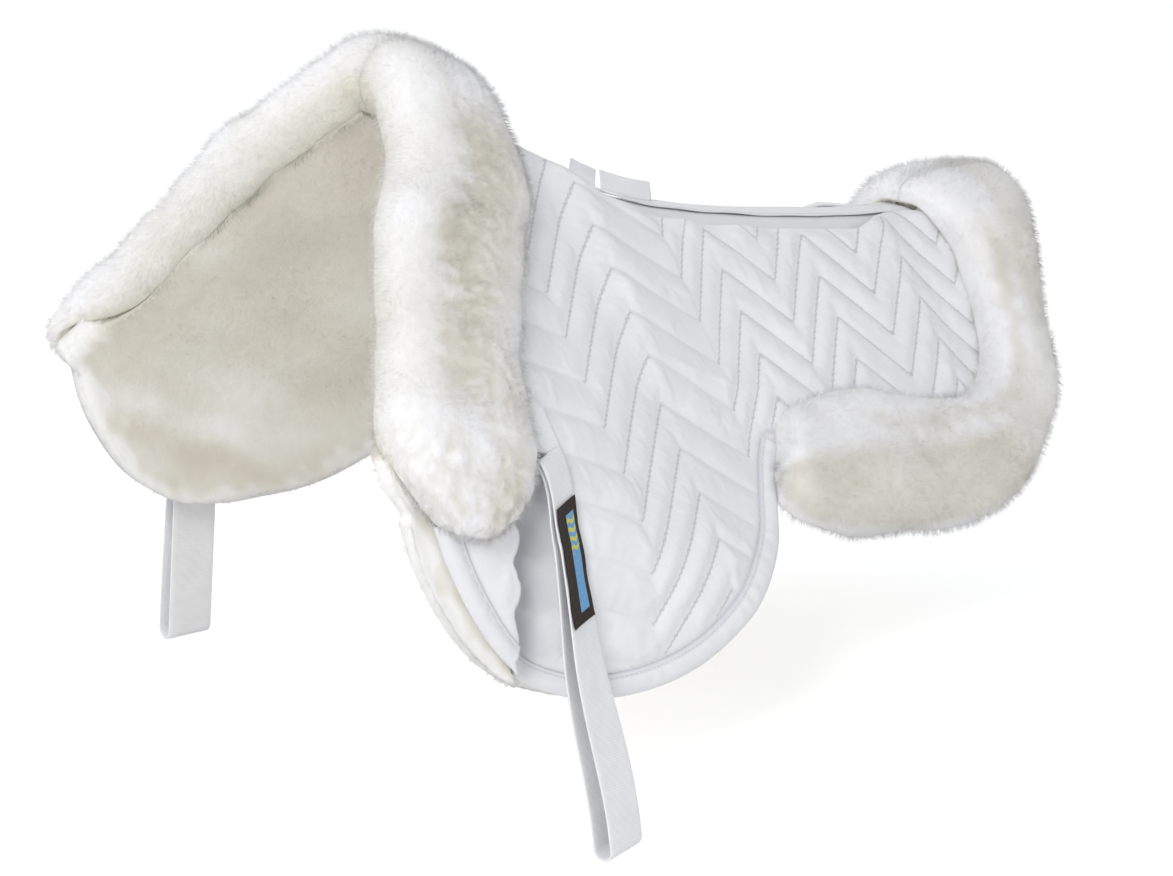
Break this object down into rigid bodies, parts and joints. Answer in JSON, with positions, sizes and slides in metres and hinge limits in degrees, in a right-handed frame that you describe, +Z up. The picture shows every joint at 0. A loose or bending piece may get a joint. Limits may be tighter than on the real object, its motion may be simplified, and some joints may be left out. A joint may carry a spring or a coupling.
{
  "type": "shimmable half pad",
  "caption": "Quilted saddle half pad with fleece lining and rolls, shim pockets opening at the spine and two webbing strap loops.",
  "frame": {"origin": "on the centre line of the spine at mid-length, at the height of the pocket floor", "axes": "-X to the front (withers), +X to the rear (cantle), -Y to the horse's left, +Y to its right, +Z up"},
  "size_m": [0.6909, 0.5395, 0.4935],
  "materials": {
    "quilted_cotton": "white quilted cotton twill",
    "lining_cloth": "plain white cotton",
    "fleece": "natural sheepskin pile",
    "felt": "dense grey felt",
    "fastening_tape": "hook and loop tape",
    "binding_tape": "folded cotton tape, topstitched",
    "webbing": "ribbed white webbing",
    "band_webbing": "flat woven band",
    "label_weave": "woven label, bare of lettering",
    "label_tape": "satin tape, bare of lettering"
  },
  "bodies": {
    "spine": {"spine_band": "band_webbing", "size_tab": "label_tape", "care_label": "label_tape"},
    "left_side": {"left_quilted_cover": "quilted_cotton", "left_pocket_lining": "lining_cloth", "left_fleece_lining": "fleece", "left_front_roll": "fleece", "left_rear_roll": "fleece", "left_flap_binding": "binding_tape", "left_strap_tail": "webbing", "left_loop_strip": "fastening_tape", "left_hook_strip": "fastening_tape", "left_pocket_divider_1": "lining_cloth", "left_pocket_divider_2": "lining_cloth", "left_pocket_divider_3": "lining_cloth", "left_pocket_divider_4": "lining_cloth"},
    "right_side": {"right_quilted_cover": "quilted_cotton", "right_pocket_lining": "lining_cloth", "right_fleece_lining": "fleece", "right_front_roll": "fleece", "right_rear_roll": "fleece", "right_flap_binding": "binding_tape", "right_strap_tail": "webbing", "right_loop_strip": "fastening_tape", "right_hook_strip": "fastening_tape", "right_pocket_divider_1": "lining_cloth", "right_pocket_divider_2": "lining_cloth", "right_pocket_divider_3": "lining_cloth", "right_pocket_divider_4": "lining_cloth"},
    "left_front_shim": {"left_front_shim": "felt"},
    "left_middle_shim": {"left_middle_shim": "felt"},
    "left_rear_shim": {"left_rear_shim": "felt"},
    "right_front_shim": {"right_front_shim": "felt"},
    "right_middle_shim": {"right_middle_shim": "felt"},
    "right_rear_shim": {"right_rear_shim": "felt"},
    "left_strap": {"left_girth_strap": "webbing", "woven_label": "label_weave"},
    "right_strap": {"right_girth_strap": "webbing"}
  },
  "joints": [
    {"name": "left_side_flex", "type": "hinge", "parent": "spine", "child": "left_side", "pos_m": [0, -0.0095, 0.02441], "axis": [-0.9741, 0, 0.2261], "range_deg": [-6, 8]},
    {"name": "right_side_flex", "type": "hinge", "parent": "spine", "child": "right_side", "pos_m": [0, 0.0095, 0.02441], "axis": [0.9741, 0, -0.2261], "range_deg": [-6, 8]},
    {"name": "left_front_shim_slide", "type": "slide", "parent": "left_side", "child": "left_front_shim", "axis": [0, 0.6428, 0.766], "range_m": [0, 0.14]},
    {"name": "left_middle_shim_slide", "type": "slide", "parent": "left_side", "child": "left_middle_shim", "axis": [0, 0.6428, 0.766], "range_m": [0, 0.14]},
    {"name": "left_rear_shim_slide", "type": "slide", "parent": "left_side", "child": "left_rear_shim", "axis": [0, 0.6428, 0.766], "range_m": [0, 0.14]},
    {"name": "right_front_shim_slide", "type": "slide", "parent": "right_side", "child": "right_front_shim", "axis": [0, 0.6428, -0.766], "range_m": [-0.14, 0]},
    {"name": "right_middle_shim_slide", "type": "slide", "parent": "right_side", "child": "right_middle_shim", "axis": [0, 0.6428, -0.766], "range_m": [-0.14, 0]},
    {"name": "right_rear_shim_slide", "type": "slide", "parent": "right_side", "child": "right_rear_shim", "axis": [0, 0.6428, -0.766], "range_m": [-0.14, 0]},
    {"name": "left_strap_swing", "type": "hinge", "parent": "left_side", "child": "left_strap", "pos_m": [-0.28198, -0.20941, -0.07789], "axis": [-1, 0, 0], "range_deg": [0, 80]},
    {"name": "right_strap_swing", "type": "hinge", "parent": "right_side", "child": "right_strap", "pos_m": [-0.28273, 0.20731, -0.07952], "axis": [1, 0, 0], "range_deg": [0, 80]}
  ]
}
